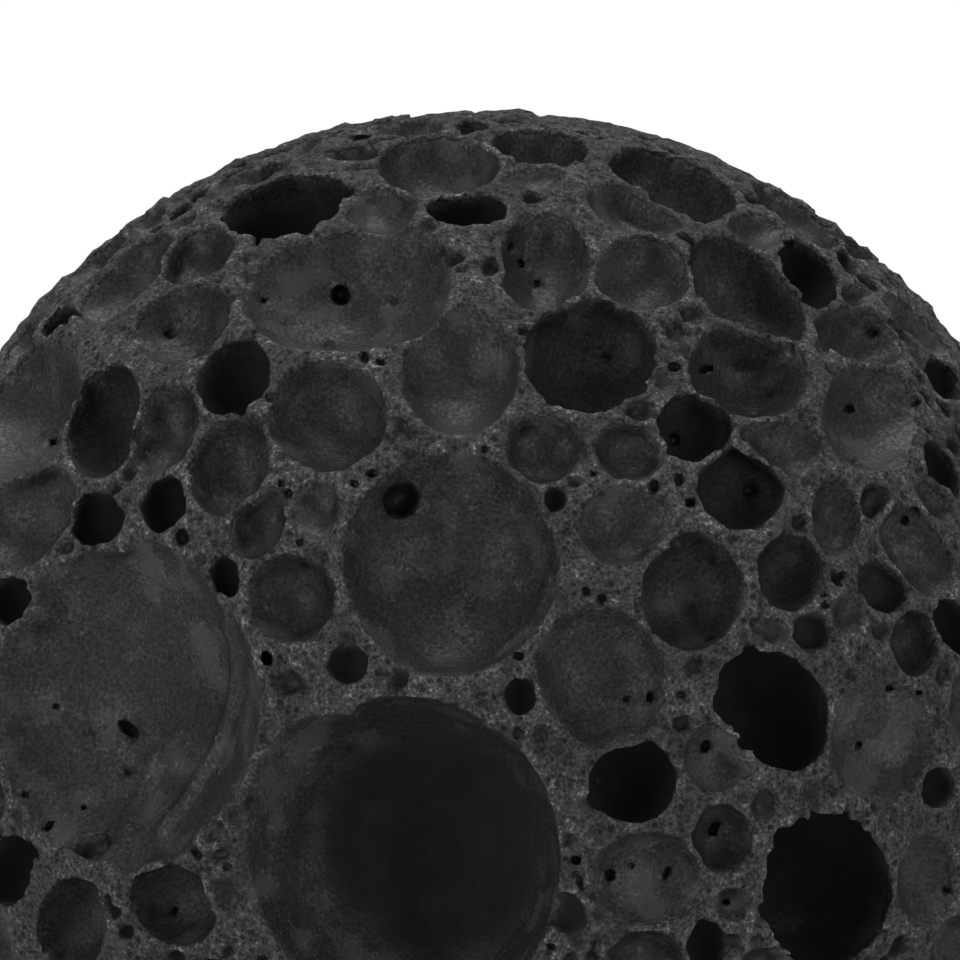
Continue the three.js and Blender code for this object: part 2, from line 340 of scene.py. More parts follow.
VOXEL = 0.17
MARGIN = 1.2  # air kept round the stone in the field
SKIN_REACH = 1.02  # the swellings stay inside this share of the radius
TRIANGLES = 198000  # in the stone's mesh, once it is thinned
TILE_CELLS = 128  # a noise tile repeats after this many voxels
TILE_BAND = 0.45  # how far its wavelengths spread, as a share
SHIFT_STEPS = (17, 29, 41)  # a bubble's own place in a tile is its number times these
SLAB_CELLS = 16  # whole-field work is done in slabs this thick
RAYS_AT_ONCE = 2000
FAR = 4.0  # further than any distance that matters

# Each wave of noise has a seed, a wavelength and a height.
CRUMBLE_WAVES = [(0, 2.6, 0.05), (1, 1.1, 0.05), (2, 0.55, 0.045)]  # the broken skin
CRUMBLE_DEPTH = 0.40  # how far below the skin it fades out
FLAT_ROUGHNESS = 0.15  # the share of it on the resting flat
FLAT_FADE = 1.5  # and how far above the flat it is full
WALL = 0.36  # the rock left between two bubbles
WALL_WAVE = (13, 1.7, 0.05)
RIM_DEPTH = 0.8  # how far below the skin a bubble's edge is ragged
RIM_WAVE = (14, 0.70, 0.055)

SMALL_DEEPER = 1.3  # the front's small bubbles are deeper than their share by this
SMALL_DEEPEST = 1.7  # up to this share
DEEP_SHRINK = 0.95  # a deep bubble is cut smaller, as its thin lip crumbles back
BUBBLE_WARP = (11, 5.5, 0.016)  # its height is a share of the bubble's radius
WARP_RADIUS = 4.0  # beyond which the warp grows no more
BUBBLE_RIPPLE = (12, 1.1, 0.016)
RIPPLE_SHARE = 0.05  # the ripple's greatest height, as a share of the radius
PORE_RIPPLE = (15, 0.7, 0.13)  # its height is a share of the pore's radius

CREST_STEP = 0.12  # the spacing of the balls that build a crest up
CREST_BLEND = 0.35
CREST_SINK = 0.6  # how deep its balls sit, as a share of their radius
PRESSED_DEEPER = 1.7  # the listed pits are deeper than their share by this much
PRESSED_WIDER = 0.02  # and their radii larger
PIT_SEED = 77
PIT_COUNT = 12000
PIT_RADII = (0.17, 0.38)
PIT_SHAPES = (0.7, 1.3)  # each half-axis is a share of the radius between these
PIT_WAVE = (12, 1.1, 0.02)
PIT_START = 0.6  # the surface is looked for from this far above the skin
PIT_REACH = 9.0
PIT_LINING_SHARE = 0.04  # how many of the pits that land on a bubble's lining are kept


# ---- places on the stone

def skin_radius(direction):
    """The worn skin's distance from the middle along unit directions, an array of (..., 3)."""
    share = 1.0
    for height, wave, phase in SWELLINGS:
        share = share + height * np.cos(direction @ np.array(wave) + phase)
    return STONE_RADIUS * share


class Mouth:
    """Where a bubble opens: an outward direction and the two half-diameters of its mouth.

    The oval measures places against the bubble's widest reach, which a deep one has below its mouth.
    """

    def __init__(self, outward, along, across, depth_share):
        self.outward = outward
        self.along = along
        self.across = across
        self.depth_share = depth_share
        self.radius = math.sqrt(np.linalg.norm(np.cross(along, across)))
        widest = max(depth_share, 1.0)
        self.oval = np.linalg.pinv(np.stack([along, across], 1)) * 2 / (widest + 1 / widest)


def front_mouth(right, up, length, width, lean, depth_share):
    forward = math.sqrt(STONE_RADIUS ** 2 - right ** 2 - up ** 2)
    outward = np.array([right, -forward, up]) / STONE_RADIUS
    cos, sin = math.cos(math.radians(lean)), math.sin(math.radians(lean))

    def lifted(dx, dz):
        return np.array([dx, -(outward[0] * dx + outward[2] * dz) / outward[1], dz])

    along = lifted(cos * length / 2, sin * length / 2)
    across = lifted(-sin * width / 2, cos * width / 2)
    return Mouth(outward, along, across, depth_share)


def far_mouth(turn, rise, length, width, lean, depth_share):
    turn, rise, lean = math.radians(turn), math.radians(rise), math.radians(lean)
    outward = np.array([
        math.sin(turn) * math.cos(rise),
        -math.cos(turn) * math.cos(rise),
        math.sin(rise),
    ])
    level = np.cross([0.0, 0.0, 1.0], outward)
    level /= np.linalg.norm(level)
    steep = np.cross(outward, level)
    along = (level * math.cos(lean) + steep * math.sin(lean)) * length / 2
    across = (steep * math.cos(lean) - level * math.sin(lean)) * width / 2
    return Mouth(outward, along, across, depth_share)


# ---- the scattered bubbles

def seeded_random(seed):
    """Park and Miller's generator, as in the CAD model."""
    state = seed
    while True:
        state = state * 16807 % 2147483647
        yield state / 2147483647


def in_listed_front(outward):
    right, up = outward[0] * STONE_RADIUS, outward[2] * STONE_RADIUS
    return outward[1] < 0 and abs(right) < FRONT_EDGE_SIDE and up > FRONT_EDGE_LOW


def over_flat(outward, radius):
    sideways = math.hypot(outward[0], outward[1]) * STONE_RADIUS
    return outward[2] < 0 and sideways < BASE_CLEAR_RADIUS + radius


class Room:
    """The mouths placed so far, to keep new ones clear of them."""

    def __init__(self, mouths):
        self.outwards = np.array([m.outward for m in mouths])
        self.radii = np.array([m.radius for m in mouths])
        self.ovals = np.array([m.oval for m in mouths])

    def has(self, mouth, wall):
        cosines = np.clip(self.outwards @ mouth.outward, -1, 1)
        apart = np.arccos(cosines) * STONE_RADIUS
        return bool(np.all(apart > mouth.radius + self.radii + wall))

    def has_between_ovals(self, mouth, wall):
        """The same, with each placed bubble's true oval in place of a circle."""
        away = (mouth.outward - self.outwards) * STONE_RADIUS
        apart = np.linalg.norm(away, axis=1) + 1e-6
        share = np.linalg.norm(np.einsum("nij,nj->ni", self.ovals, away), axis=1) + 1e-6
        return bool(np.all(apart * (1 - 1 / share) > mouth.radius + wall))

    def take(self, mouth):
        self.outwards = np.vstack([self.outwards, mouth.outward])
        self.radii = np.append(self.radii, mouth.radius)
        self.ovals = np.concatenate([self.ovals, mouth.oval[None]])


def scatter(room, seed, tries, lengths, wall, depths, flat_clear=True, pores=False):
    draw = seeded_random(seed)
    has_room = room.has_between_ovals if pores else room.has

    def between(low, high):
        return low + (high - low) * next(draw)

    made = []
    for _ in range(tries):
        turn = between(0, 360)
        rise = math.degrees(math.asin(between(-1, 1)))
        length = between(*lengths)
        width = length * between(NARROWEST, 1)
        lean = between(0, 180)
        mouth = far_mouth(turn, rise, length, width, lean, between(*depths))
        if in_listed_front(mouth.outward) and not pores:
            continue
        if flat_clear and over_flat(mouth.outward, mouth.radius):
            continue
        if has_room(mouth, wall):
            room.take(mouth)
            made.append(mouth)
    return made


def all_mouths():
    """The bubbles with rock between them, and the pores, which may cut into a bubble's rim."""
    large = [front_mouth(*row) for row in LARGE_FRONT] + [far_mouth(*row) for row in LARGE_FAR]
    room = Room(large)
    bubbles = large + scatter(room, *CAD_SCATTER)
    small = [
        front_mouth(*row[:5], min(row[5] * SMALL_DEEPER, SMALL_DEEPEST)) for row in SMALL_FRONT
    ]
    for mouth in small:
        room.take(mouth)
    bubbles += small
    for fine in FINE_SCATTERS:
        bubbles += scatter(room, *fine, flat_clear=False)
    pores = []
    for fine in PORE_SCATTERS:
        pores += scatter(room, *fine, flat_clear=False, pores=True)
    return bubbles, pores


# ---- the field of distances

def noise_tile(seed, wavelength):
    """A cube of smooth noise that repeats without a seam, with a spread of 1."""
    cells = TILE_CELLS
    white = np.random.default_rng(seed).standard_normal((cells, cells, cells)).astype(np.float32)
    spectrum = np.fft.rfftn(white)
    steps = np.fft.fftfreq(cells)
    half_steps = np.fft.rfftfreq(cells)
    squares = steps[:, None, None] ** 2 + steps[None, :, None] ** 2 + half_steps[None, None, :] ** 2
    frequency = np.sqrt(squares)
    centre = VOXEL / wavelength
    spectrum *= np.exp(-((frequency - centre) / (TILE_BAND * centre)) ** 2)
    noise = np.fft.irfftn(spectrum, s=white.shape).astype(np.float32)
    return noise / noise.std()


class Field:
    """Distances to the surface on a grid of voxels: below 0 in the rock, above 0 in the open."""

    def __init__(self):
        reach = STONE_RADIUS * SKIN_REACH + MARGIN
        count = int(math.ceil(2 * reach / VOXEL)) + 1
        self.low = -reach
        self.axis = (self.low + VOXEL * np.arange(count)).astype(np.float32)
        self.tiles = {}
        self.values = self.skin()

    def tile(self, seed, wavelength):
        key = (seed, wavelength)
        if key not in self.tiles:
            self.tiles[key] = noise_tile(seed, wavelength)
        return self.tiles[key]

    def noise(self, seed, wavelength, block, shift=(0, 0, 0)):
        cells = [np.arange(s.start, s.stop) + offset for s, offset in zip(block, shift)]
        rows = [c % TILE_CELLS for c in cells]
        return self.tile(seed, wavelength)[np.ix_(*rows)]

    def skin(self):
        """The worn round stone on its flat, without bubbles."""
        axis = self.axis
        values = np.empty((len(axis),) * 3, np.float32)
        grid_y, grid_z = np.meshgrid(axis, axis, indexing="ij")
        for i, x in enumerate(axis):
            points = np.stack([np.full_like(grid_y, x), grid_y, grid_z], -1)
            distance = np.maximum(np.linalg.norm(points, axis=-1), 1e-3)
            ball = distance - skin_radius(points / distance[..., None])
            values[i] = np.maximum(ball, -BASE_DEPTH - grid_z)
        return values

    def crumble(self):
        """Roughens the broken skin, and leaves the rock deeper down as smooth as it was."""
        for block in self.slabs():
            depth = -self.values[block]
            near = np.exp(-np.square(np.clip(depth, 0, None) / CRUMBLE_DEPTH))
            rough = 0.0
            for seed, wavelength, height in CRUMBLE_WAVES:
                rough = rough + height * self.noise(seed, wavelength, block)
            above_flat = self.axis[block[2]] + BASE_DEPTH
            on_flat = np.clip(above_flat / FLAT_FADE, FLAT_ROUGHNESS, 1)
            self.values[block] += near * on_flat * rough

    def block_round(self, middle, reach):
        low = np.floor((middle - reach - self.low) / VOXEL).astype(int)
        high = np.ceil((middle + reach - self.low) / VOXEL).astype(int) + 1
        count = len(self.axis)
        return tuple(slice(max(a, 0), min(b, count)) for a, b in zip(low, high))

    def ball_distance(self, block, middle, stretch):
        """Nearly the distance outside a ball stretched by a 3 x 3 matrix."""
        inverse = np.linalg.inv(stretch)
        x, y, z = (self.axis[s] - m for s, m in zip(block, middle))
        parts = [
            (row[0] * x)[:, None, None] + (row[1] * y)[None, :, None] + (row[2] * z)[None, None, :]
            for row in inverse
        ]
        length = np.sqrt(parts[0] ** 2 + parts[1] ** 2 + parts[2] ** 2) + 1e-6
        slopes = [sum(inverse[n, k] * parts[n] for n in range(3)) for k in range(3)]
        steepness = np.sqrt(slopes[0] ** 2 + slopes[1] ** 2 + slopes[2] ** 2) + 1e-6
        return (length * (length - 1) / steepness).astype(np.float32)

    def bubble(self, middle, stretch, waves=(), shift=(0, 0, 0)):
        """The block of voxels round a bubble, with room for the wall and for three spreads of each
        wave of noise that bends it, and the distance outside it there."""
        reach = np.linalg.norm(stretch, axis=1) + 3 * sum(wave[2] for wave in waves) + 2 * WALL
        block = self.block_round(middle, reach)
        distance = self.ball_distance(block, middle, stretch)
        for seed, wavelength, height in waves:
            distance += height * self.noise(seed, wavelength, block, shift)
        return block, distance

    def hollow(self, block, distance, blend=0.0):
        """Opens the rock where the distance is below 0. A blend rounds the join with what is open."""
        before = self.values[block]
        self.values[block] = np.maximum(before, -distance)
        if blend:
            overlap = np.clip(1 - np.abs(before + distance) / blend, 0, None)
            self.values[block] += blend / 4 * overlap ** 2

    def fill(self, block, distance, blend):
        """Adds rock where the distance is below 0, melted into the rock round it."""
        before = self.values[block]
        overlap = np.clip(1 - np.abs(before - distance) / blend, 0, None)
        self.values[block] = np.minimum(before, distance) - blend / 4 * overlap ** 2

    def soften(self):
        """Rounds off slivers thinner than a voxel or two."""
        for axis in range(3):
            rows = np.moveaxis(self.values, axis, 0)
            rows[1:-1] = 0.5 * rows[1:-1] + 0.25 * (rows[:-2] + rows[2:])

    def hollow_apart(self, bubbles):
        """Hollows bubbles out with a wall of rock between each two."""
        nearest = np.full_like(self.values, FAR)
        second = np.full_like(self.values, FAR)
        for block, distance in bubbles:
            before = nearest[block]
            second[block] = np.minimum(second[block], np.maximum(before, distance))
            nearest[block] = np.minimum(before, distance)
        wall_seed, wall_length, wall_height = WALL_WAVE
        rim_seed, rim_length, rim_height = RIM_WAVE
        for block in self.slabs():
            wall = WALL + wall_height * self.noise(wall_seed, wall_length, block)
            apart = (wall - (second[block] - nearest[block])) / 2
            near_skin = np.exp(-np.square(np.clip(-self.values[block], 0, None) / RIM_DEPTH))
            chips = rim_height * near_skin * self.noise(rim_seed, rim_length, block)
            self.hollow(block, np.maximum(nearest[block], apart) + chips)

    def slabs(self):
        count = len(self.axis)
        for start in range(0, count, SLAB_CELLS):
            yield slice(start, min(start + SLAB_CELLS, count)), slice(0, count), slice(0, count)

    def surface_along(self, starts, directions, reach):
        """How far along each ray the rock begins, in steps of half a voxel, or NaN."""
        steps = np.arange(0, reach, VOXEL / 2)
        found = np.full(len(starts), np.nan)
        for first in range(0, len(starts), RAYS_AT_ONCE):
            rows = slice(first, first + RAYS_AT_ONCE)
            points = starts[rows, None, :] + directions[rows, None, :] * steps[None, :, None]
            cells = np.rint((points - self.low) / VOXEL).astype(int)
            cells = np.clip(cells, 0, len(self.axis) - 1)
            solid = self.values[cells[..., 0], cells[..., 1], cells[..., 2]] < 0
            hit = solid.argmax(1)
            found[rows] = np.where(solid.any(1), steps[hit], np.nan)
        return found


def ball_of(mouth):
    """Each bubble is a ball stretched to fit its mouth. With the mouth's radius as 1, a bowl of
    depth q belongs to a ball of radius (q + 1/q) / 2 with its middle (q - 1/q) / 2 below the mouth.
    """
    q = mouth.depth_share
    ball_radius = (q + 1 / q) / 2
    ball_depth = (q - 1 / q) / 2
    height = skin_radius(mouth.outward) - mouth.radius ** 2 / (2 * STONE_RADIUS)
    middle = mouth.outward * (height - mouth.radius * ball_depth)
    axes = [mouth.along, mouth.across, mouth.outward * mouth.radius]
    size = ball_radius * (DEEP_SHRINK if q > 1 else 1.0)
    return middle, size * np.stack(axes, 1)


def shift_of(number):
    return tuple(number * step for step in SHIFT_STEPS)


def ball_at(field, mouth, number):
    middle, stretch = ball_of(mouth)
    warp_seed, warp_length, warp_share = BUBBLE_WARP
    ripple_seed, ripple_length, ripple_height = BUBBLE_RIPPLE
    waves = [
        (warp_seed, warp_length, warp_share * min(mouth.radius, WARP_RADIUS)),
        (ripple_seed, ripple_length, min(ripple_height, RIPPLE_SHARE * mouth.radius)),
    ]
    return field.bubble(middle, stretch, waves, shift_of(number))


def pore_at(field, mouth, number):
    middle, stretch = ball_of(mouth)
    seed, wavelength, share = PORE_RIPPLE
    waves = [(seed, wavelength, share * mouth.radius)]
    return field.bubble(middle, stretch, waves, shift_of(number))


def surface_behind(field, rights, ups):
    """A start before the stone for each place on the front, and how far behind it the rock begins."""
    starts = np.stack([rights, np.full(len(rights), -STONE_RADIUS - 1), ups], 1)
    ahead = np.tile([0.0, 1.0, 0.0], (len(starts), 1))
    return starts, field.surface_along(starts, ahead, 2 * STONE_RADIUS)


def press_front_pits(field):
    rows = np.array([(*row, *USUAL_LEAN_AND_SHARE)[:6] for row in FRONT_PITS])
    starts, found = surface_behind(field, rows[:, 0], rows[:, 1])
    for (length, width, lean, depth_share), start, run in zip(rows[:, 2:], starts, found):
        if np.isnan(run):
            continue
        cos, sin = math.cos(math.radians(lean)), math.sin(math.radians(lean))
        deep = PRESSED_DEEPER * depth_share * (length + width) / 4
        long, wide = length / 2 + PRESSED_WIDER, width / 2 + PRESSED_WIDER
        stretch = np.array([
            [cos * long, 0.0, -sin * wide],
            [0.0, deep, 0.0],
            [sin * long, 0.0, cos * wide],
        ])
        field.hollow(*field.bubble(start + [0, run, 0], stretch, [PIT_WAVE]))


def raise_crests(field):
    """Builds each crest up along the surface as a row of balls that melt into it."""
    for half_width, corners in FRONT_CRESTS:
        corners = np.array(corners)
        runs = np.append(0, np.cumsum(np.linalg.norm(np.diff(corners, axis=0), axis=1)))
        steps = np.arange(0, runs[-1], CREST_STEP)
        rights, ups = (np.interp(steps, runs, corners[:, k]) for k in (0, 1))
        for start, run in zip(*surface_behind(field, rights, ups)):
            middle = start + [0, run + CREST_SINK * half_width, 0]
            block, distance = field.bubble(middle, np.eye(3) * half_width)
            field.fill(block, distance, CREST_BLEND)


def press_pits(field):
    """Fine pits over the whole surface, few of them in the linings."""
    random = np.random.default_rng(PIT_SEED)
    outwards = random.standard_normal((PIT_COUNT, 3))
    outwards /= np.linalg.norm(outwards, axis=1)[:, None]
    skin = skin_radius(outwards)
    starts = outwards * (skin + PIT_START)[:, None]
    found = field.surface_along(starts, -outwards, PIT_REACH)
    radii = PIT_RADII[0] + (PIT_RADII[1] - PIT_RADII[0]) * random.random(PIT_COUNT) ** 2
    kept = random.random(PIT_COUNT)
    shapes = random.uniform(*PIT_SHAPES, (PIT_COUNT, 3))
    for outward, height, run, radius, chance, shape in zip(
        outwards, skin, found, radii, kept, shapes
    ):
        on_lining = run > PIT_START + CRUMBLE_DEPTH
        if np.isnan(run) or (on_lining and chance > PIT_LINING_SHARE):
            continue
        middle = outward * (height + PIT_START - run)
        field.hollow(*field.bubble(middle, np.diag(radius * shape), [PIT_WAVE]))


# ---- from the field to a mesh

def surface_nets(field):
    """One vertex in each voxel cell that the surface crosses, and one quad on each crossed edge."""
    values = field.values
    inside = values < 0
    cells = tuple(n - 1 for n in values.shape)
    count = np.zeros(cells, np.uint8)
    corners = [(i, j, k) for i in (0, 1) for j in (0, 1) for k in (0, 1)]
    for i, j, k in corners:
        count += inside[i:i + cells[0], j:j + cells[1], k:k + cells[2]]
    crossed = np.flatnonzero((count > 0) & (count < 8))
    del count
    base = np.stack(np.unravel_index(crossed, cells), 1).astype(np.int32)
    total = np.zeros((len(base), 3), np.float32)
    hits = np.zeros(len(base), np.float32)
    at_corner = {
        c: values[base[:, 0] + c[0], base[:, 1] + c[1], base[:, 2] + c[2]] for c in corners
    }
    for axis in range(3):
        for corner in corners:
            if corner[axis]:
                continue
            other = tuple(1 if n == axis else corner[n] for n in range(3))
            a, b = at_corner[corner], at_corner[other]
            cut = (a < 0) != (b < 0)
            share = np.where(cut, a / np.where(cut, a - b, 1), 0)
            point = np.tile(np.array(corner, np.float32), (len(base), 1))
            point[:, axis] = share
            total += point * cut[:, None]
            hits += cut
    vertices = field.low + VOXEL * (base + total / hits[:, None])
    number = np.full(cells, -1, np.int32)
    number.ravel()[crossed] = np.arange(len(crossed), dtype=np.int32)
    quads = [edge_quads(inside, number, axis) for axis in range(3)]
    return vertices, np.concatenate(quads)


def edge_quads(inside, number, axis):
    """The quads round the grid edges along one axis that the surface cuts, facing outward."""
    first = np.moveaxis(inside, axis, 0)
    cut = first[:-1] != first[1:]
    edge = np.argwhere(cut[:, 1:-1, 1:-1]).astype(np.int32)
    edge[:, 1:] += 1
    goes_in = first[:-1][edge[:, 0], edge[:, 1], edge[:, 2]]
    cell = np.moveaxis(number, axis, 0)
    ring = [
        cell[edge[:, 0], edge[:, 1] + dv, edge[:, 2] + dw]
        for dv, dw in ((-1, -1), (0, -1), (0, 0), (-1, 0))
    ]
    quads = np.stack(ring, 1)
    turned = ~goes_in if axis != 1 else goes_in
    quads[turned] = quads[turned][:, ::-1]
    return quads


def largest_body(vertices, quads):
    """Drops loose crumbs and sealed bubbles: only the body with the most vertices stays."""
    label = np.arange(len(vertices))
    sides = np.concatenate([quads[:, [k - 1, k]] for k in (1, 2, 3, 0)])
    while True:
        lowest = label.copy()
        pair = np.minimum(label[sides[:, 0]], label[sides[:, 1]])
        np.minimum.at(lowest, label[sides[:, 0]], pair)
        np.minimum.at(lowest, label[sides[:, 1]], pair)
        lowest = lowest[lowest]
        settled = lowest[label]
        if np.array_equal(settled, label):
            break
        label = settled
    kept = label == np.bincount(label).argmax()
    number = np.cumsum(kept) - 1
    return vertices[kept], number[quads[kept[quads[:, 0]]]]


def carve_stone(bubbles, pores):
    field = Field()
    field.crumble()
    field.hollow_apart(ball_at(field, mouth, number) for number, mouth in enumerate(bubbles))
    for number, (blend, row) in enumerate(FRONT_LOBES):
        field.hollow(*ball_at(field, front_mouth(*row), number), blend)
    raise_crests(field)
    for number, mouth in enumerate(pores):
        field.hollow(*pore_at(field, mouth, number))
    press_pits(field)
    field.soften()
    press_front_pits(field)
    return largest_body(*surface_nets(field))


# ---- the stone

STONE_MIDDLE = Vector((-0.153, 0.215, BASE_DEPTH))  # from the origin on the resting flat


def mesh_object(name, vertices, faces):
    mesh = bpy.data.meshes.new(name)
    mesh.vertices.add(len(vertices))
    mesh.vertices.foreach_set("co", np.asarray(vertices, np.float32).ravel())
    mesh.loops.add(faces.size)
    mesh.loops.foreach_set("vertex_index", faces.astype(np.int32).ravel())
    mesh.polygons.add(len(faces))
    mesh.polygons.foreach_set("loop_start", np.arange(0, faces.size, faces.shape[1], dtype=np.int32))
    mesh.update(calc_edges=True)
    made = bpy.data.objects.new(name, mesh)
    bpy.context.collection.objects.link(made)
    return made


def read(rows, key, width, kind=np.float32):
    flat = np.empty(len(rows) * width, kind)
    rows.foreach_get(key, flat)
    return flat.reshape(-1, width)


def places_of(mesh):
    return read(mesh.vertices, "co", 3)


FRONT_HOLD = 0.5  # how strongly the thinning spares the front
FRONT_LOW = -15.0  # the front's lower end, from the stone's middle
SHARP_ANGLE = math.radians(62)  # a sharper fold than this shows as a crisp edge
DEEP_SHARES = (0.9, 1.5)  # bubbles take on painted shade in their linings from the first depth share to the second
DEEP_FADE = 0.8  # their linings' painted shade is full this many mouth radii down
LINING_REACH = 0.12  # a vertex this near a bubble's ball may be its lining
BALL_SEARCH = 1.2  # the box searched for them, as a share of the ball


def thin_out(stone):
    """Collapses the dense net to the triangle budget, least of all on the front."""
    places = places_of(stone.data)
    front = np.flatnonzero((places[:, 1] < 0) & (places[:, 2] > FRONT_LOW))
    stone.vertex_groups.new(name="front").add(front.tolist(), FRONT_HOLD, "REPLACE")
    decimate = stone.modifiers.new("thin", "DECIMATE")
    decimate.ratio = TRIANGLES / (2 * len(stone.data.polygons))
    decimate.vertex_group = "front"
    decimate.invert_vertex_group = True
    finished = bpy.data.meshes.new_from_object(
        stone.evaluated_get(bpy.context.evaluated_depsgraph_get())
    )
    stone.modifiers.clear()
    stone.vertex_groups.clear()
    rough = stone.data
    stone.data = finished
    bpy.data.meshes.remove(rough)


def store(mesh, name, numbers):
    attribute = mesh.attributes.new(name, "FLOAT", "POINT")
    attribute.data.foreach_set("value", numbers.astype(np.float32))


def mark_depth(mesh):
    """Stores how far each vertex lies below the worn skin, in millimetres."""
    places = places_of(mesh).astype(np.float64)
    distance = np.linalg.norm(places, axis=1)
    store(mesh, "depth", skin_radius(places / distance[:, None]) - distance)


def mark_ridges(mesh):
    """Stores how far each vertex stands out from its neighbours, in millimetres."""
    places = places_of(mesh).astype(np.float64)
    first, second = read(mesh.edges, "vertices", 2, np.int32).T
    normals = read(mesh.vertex_normals, "vector", 3)
    count = np.bincount(first, minlength=len(places)) + np.bincount(second, minlength=len(places))

    def neighbour_mean(column):
        total = np.bincount(first, column[second], len(places))
        total += np.bincount(second, column[first], len(places))
        return total / np.maximum(count, 1)

    means = np.stack([neighbour_mean(places[:, k]) for k in range(3)], 1)
    stands_out = np.sum((places - means) * normals, 1)
    store(mesh, "ridge", 0.5 * stands_out + 0.5 * neighbour_mean(stands_out))


def mark_deep_shade_share(mesh, bubbles):
    """Stores how far down inside a deep bubble each vertex lies, from 0 to 1, for the painted shade
    that darkens its lining. A vertex belongs to the bubble whose ball it is deepest in."""
    places = places_of(mesh).astype(np.float64)
    order = np.argsort(places[:, 2])
    heights = places[order, 2]
    depth = read(mesh.attributes["depth"].data, "value", 1)[:, 0]
    closest = np.full(len(places), LINING_REACH)
    down = np.zeros(len(places))
    for mouth in bubbles:
        middle, stretch = ball_of(mouth)
        reach = BALL_SEARCH * np.linalg.norm(stretch, axis=1)
        ends = np.searchsorted(heights, [middle[2] - reach[2], middle[2] + reach[2]])
        near = order[ends[0]:ends[1]]
        near = near[(np.abs(places[near] - middle) < reach).all(1)]
        outside = np.linalg.norm((places[near] - middle) @ np.linalg.inv(stretch).T, axis=1) - 1
        mine = outside * mouth.radius < closest[near]
        near = near[mine]
        closest[near] = outside[mine] * mouth.radius
        strength = (mouth.depth_share - DEEP_SHARES[0]) / (DEEP_SHARES[1] - DEEP_SHARES[0])
        share = np.clip(depth[near] / (DEEP_FADE * mouth.radius), 0, 1)
        down[near] = np.clip(strength, 0, 1) * share
    store(mesh, "down", down)


def make_stone():
    bubbles, pores = all_mouths()
    vertices, quads = carve_stone(bubbles, pores)
    stone = mesh_object("stone", vertices, quads)
    thin_out(stone)
    mesh = stone.data
    mark_depth(mesh)
    mark_deep_shade_share(mesh, bubbles + pores)
    mark_ridges(mesh)
    mesh.vertices.foreach_set("co", ((places_of(mesh) + np.array(STONE_MIDDLE)) * MM).ravel())
    mesh.shade_smooth()
    mesh.set_sharp_from_angle(angle=SHARP_ANGLE)
    mesh.update()
    return stone


# ---- materials

# The greys are the share of light given back.
GRAIN_SIZE = 0.19  # wavelengths of the three noises
LUMP_SIZE = 0.65
PATCH_SIZE = 2.2
PORE_CELL = 0.44  # one painted pore in each cell of this size
PORE_RADII = (0.0, 0.19)
BUMP_HEIGHT = 0.12
WALL_GREYS = (0.014, 0.115)  # the torn walls' lows and highs
CRYSTAL_GREY = 0.34
HOLLOW_SHADE_GREY = 0.003  # painted shade: the painted pores and the sharp creases
LINING_GREYS = (0.009, 0.036)
PALE_GREY = 0.066  # the linings' pale patches
SPECK_GREY = 0.11
DEEP_SHADE_GREY = 0.009  # painted shade, far down inside a deep bubble and deep below the skin


class Nodes:
    """A short way to write the node tree of a material or a world."""

    def __init__(self, owner):
        owner.use_nodes = True
        self.owner = owner
        self.tree = owner.node_tree
        self.tree.nodes.clear()

    def add(self, kind, inputs=None, **settings):
        node = self.tree.nodes.new(kind)
        for key, value in settings.items():
            setattr(node, key, value)
        for key, value in (inputs or {}).items():
            if isinstance(value, bpy.types.NodeSocket):
                self.tree.links.new(value, node.inputs[key])
            else:
                node.inputs[key].default_value = value
        return node

    def place(self):
        return self.add("ShaderNodeTexCoord").outputs["Object"]

    def noise(self, where, wavelength, detail=2.0, roughness=0.5):
        inputs = {
            "Vector": where,
            "Scale": 1 / (wavelength * MM),
            "Detail": detail,
            "Roughness": roughness,
        }
        return self.add("ShaderNodeTexNoise", inputs).outputs["Fac"]

    def ramp(self, value, low, high, out_low=0.0, out_high=1.0, kind="SMOOTHSTEP"):
        ends = {"From Min": low, "From Max": high, "To Min": out_low, "To Max": out_high}
        inputs = {"Value": value, **ends}
        return self.add("ShaderNodeMapRange", inputs, interpolation_type=kind).outputs["Result"]

    def maths(self, operation, first, second):
        inputs = {0: first, 1: second}
        return self.add("ShaderNodeMath", inputs, operation=operation).outputs[0]

    def mix(self, share, first, second, kind="RGBA"):
        node = self.add("ShaderNodeMix", data_type=kind)
        for slot, value in zip([s for s in node.inputs if s.enabled], (share, first, second)):
            if isinstance(value, bpy.types.NodeSocket):
                self.tree.links.new(value, slot)
            else:
                slot.default_value = value
        return [s for s in node.outputs if s.enabled][0]

    def blend(self, share, first, second):
        return self.mix(share, first, second, "FLOAT")

    def bump(self, height, distance):
        inputs = {"Height": height, "Distance": distance * MM}
        return self.add("ShaderNodeBump", inputs).outputs["Normal"]

    def finish(self, inputs):
        shader = self.add("ShaderNodeBsdfPrincipled", inputs)
        self.add("ShaderNodeOutputMaterial", {"Surface": shader.outputs["BSDF"]})
        return self.owner


def grey(level):
    return (level, level, level * 0.985, 1.0)


def ragged_pores(nodes, where, size, low, high, ragged):
    """1 in ragged pores whose radii run from low to high, with one in each cell of the given size."""
    inputs = {"Vector": where, "Scale": 1 / (size * MM), "Randomness": 0.9}
    spots = nodes.add("ShaderNodeTexVoronoi", inputs)
    tone = nodes.add("ShaderNodeSeparateColor", {"Color": spots.outputs["Color"]}).outputs[0]
    radius = nodes.ramp(tone, 0.0, 1.0, low / size, high / size, "LINEAR")
    radius = nodes.maths("ADD", radius, nodes.ramp(ragged, 0.2, 0.8, -0.40, 0.40, "LINEAR"))
    inside = nodes.maths("SUBTRACT", radius, spots.outputs["Distance"])
    return nodes.ramp(inside, 0.0, 0.16)


